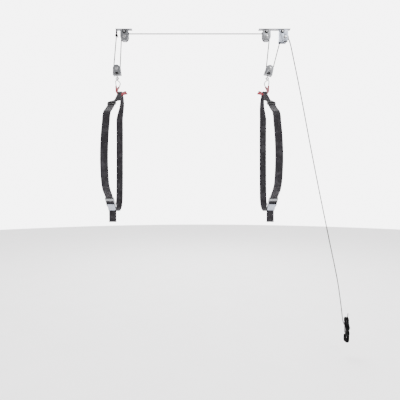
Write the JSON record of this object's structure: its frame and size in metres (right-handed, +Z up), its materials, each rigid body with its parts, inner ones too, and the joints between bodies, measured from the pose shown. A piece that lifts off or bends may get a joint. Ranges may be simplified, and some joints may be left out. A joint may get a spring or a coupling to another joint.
{
  "type": "ceiling sling hoist kit",
  "caption": "Ceiling rope hoist with anchor and lock plates, upper and lower pulley blocks, coated wire hooks, webbing slings with cam buckles, and a wall cleat.",
  "frame": {"origin": "middle of the upper face of the lock-side ceiling plate", "axes": "+Z up out of the ceiling face, +X along the ceiling from the anchor end to the lock end, +Y towards the wall that carries the cleat"},
  "size_m": [1.8085, 0.7362, 2.304],
  "materials": {
    "zinc": "satin",
    "lock_zinc": "satin",
    "bright_steel": "satin",
    "dark_steel": "satin",
    "black_plastic": "matte",
    "sheave_plastic": "satin",
    "red_vinyl": "gloss",
    "webbing": "matte",
    "rope": "matte"
  },
  "bodies": {
    "mounting": {"ceiling_plate_left": "zinc", "ceiling_plate_right": "zinc", "upper_left_bracket": "zinc", "upper_left_axle": "bright_steel", "upper_left_bolt": "bright_steel", "upper_left_washer": "black_plastic", "upper_right_bracket": "zinc", "upper_right_axle": "bright_steel", "upper_right_bolt": "bright_steel", "upper_right_washer": "black_plastic", "lock_housing": "lock_zinc", "lock_axle": "bright_steel", "lock_bolt": "bright_steel", "lock_washer": "black_plastic", "lock_guard": "black_plastic", "rope_anchor_knot": "rope", "rope_fall_a": "rope", "rope_fall_b": "rope", "rope_cross_run": "rope", "rope_fall_c": "rope", "rope_fall_d": "rope", "rope_bend_lock": "rope", "rope_pull": "rope", "wall_cleat": "black_plastic", "rope_winding": "rope"},
    "upper_left_wheel": {"upper_left_sheave": "sheave_plastic"},
    "upper_right_wheel": {"upper_right_sheave": "sheave_plastic"},
    "lock_wheel": {"lock_sheave": "sheave_plastic"},
    "roller": {"lock_roller": "dark_steel"},
    "left_block": {"lower_left_stirrup": "zinc", "lower_left_axle": "bright_steel", "rope_bend_lower_left": "rope"},
    "left_wheel": {"lower_left_sheave": "sheave_plastic"},
    "left_swivel": {"lower_left_eye_bolt": "bright_steel", "lower_left_swivel_nut": "black_plastic"},
    "left_hook_and_sling": {"left_hook": "bright_steel", "left_hook_sleeve_front": "red_vinyl", "left_hook_sleeve_rear": "red_vinyl", "left_sling": "webbing", "left_sling_slider": "black_plastic", "left_buckle_frame": "zinc"},
    "left_lever": {"left_buckle_lever": "lock_zinc"},
    "right_block": {"lower_right_stirrup": "zinc", "lower_right_axle": "bright_steel", "rope_bend_lower_right": "rope"},
    "right_wheel": {"lower_right_sheave": "sheave_plastic"},
    "right_swivel": {"lower_right_eye_bolt": "bright_steel", "lower_right_swivel_nut": "black_plastic"},
    "right_hook_and_sling": {"right_hook": "bright_steel", "right_hook_sleeve_front": "red_vinyl", "right_hook_sleeve_rear": "red_vinyl", "right_sling": "webbing", "right_sling_slider": "black_plastic", "right_buckle_frame": "zinc"},
    "right_lever": {"right_buckle_lever": "lock_zinc"}
  },
  "joints": [
    {"name": "left_block_hoist", "type": "slide", "parent": "mounting", "child": "left_block", "axis": [0, 0, 1], "range_m": [-1, 0.1], "deforming": ["rope_fall_a", "rope_fall_b"]},
    {"name": "right_block_hoist", "type": "slide", "parent": "mounting", "child": "right_block", "axis": [0, 0, 1], "range_m": [-1, 0.1], "deforming": ["rope_fall_c", "rope_fall_d"]},
    {"name": "upper_left_spin", "type": "hinge", "parent": "mounting", "child": "upper_left_wheel", "pos_m": [-1.017, 0, -0.052], "axis": [0, 1, 0], "continuous": true},
    {"name": "upper_right_spin", "type": "hinge", "parent": "mounting", "child": "upper_right_wheel", "pos_m": [-0.055, 0, -0.052], "axis": [0, 1, 0], "continuous": true},
    {"name": "lock_spin", "type": "hinge", "parent": "mounting", "child": "lock_wheel", "pos_m": [0.07, 0, -0.0575], "axis": [0, 1, 0], "continuous": true},
    {"name": "roller_slot", "type": "slide", "parent": "mounting", "child": "roller", "axis": [0.3304, 0, 0.9439], "range_m": [0, 0.0055]},
    {"name": "left_wheel_spin", "type": "hinge", "parent": "left_block", "child": "left_wheel", "pos_m": [-1.07, 0, -0.268], "axis": [0, 1, 0], "continuous": true},
    {"name": "left_hook_swivel", "type": "hinge", "parent": "left_block", "child": "left_swivel", "pos_m": [-1.0664, 0, -0.32689], "axis": [-0.061, 0, 0.9981], "range_deg": [-90, 90]},
    {"name": "left_hook_swing", "type": "hinge", "parent": "left_swivel", "child": "left_hook_and_sling", "pos_m": [-1.0664, 0, -0.32689], "axis": [1, 0, 0], "range_deg": [-20, 20]},
    {"name": "left_buckle_open", "type": "hinge", "parent": "left_hook_and_sling", "child": "left_lever", "pos_m": [-1.074, -0.14895, -1.18725], "axis": [-1, 0, 0], "range_deg": [0, 70]},
    {"name": "right_wheel_spin", "type": "hinge", "parent": "right_block", "child": "right_wheel", "pos_m": [-0.033, 0, -0.27], "axis": [0, 1, 0], "continuous": true},
    {"name": "right_hook_swivel", "type": "hinge", "parent": "right_block", "child": "right_swivel", "pos_m": [-0.04827, 0, -0.32699], "axis": [0.2588, 0, 0.9659], "range_deg": [-90, 90]},
    {"name": "right_hook_swing", "type": "hinge", "parent": "right_swivel", "child": "right_hook_and_sling", "pos_m": [-0.04827, 0, -0.32699], "axis": [1, 0, 0], "range_deg": [-20, 20]},
    {"name": "right_buckle_open", "type": "hinge", "parent": "right_hook_and_sling", "child": "right_lever", "pos_m": [-0.053, -0.14895, -1.18725], "axis": [-1, 0, 0], "range_deg": [0, 70]}
  ],
  "couplings": [
    {"joint": "right_block_hoist", "follows": "left_block_hoist", "ratio": 1},
    {"joint": "upper_left_spin", "follows": "left_block_hoist", "rad_per_m": 90.909},
    {"joint": "upper_right_spin", "follows": "left_block_hoist", "rad_per_m": 90.909},
    {"joint": "lock_spin", "follows": "left_block_hoist", "rad_per_m": 163.27},
    {"joint": "left_wheel_spin", "follows": "left_block_hoist", "rad_per_m": -45.455},
    {"joint": "right_wheel_spin", "follows": "left_block_hoist", "rad_per_m": -136.36}
  ]
}
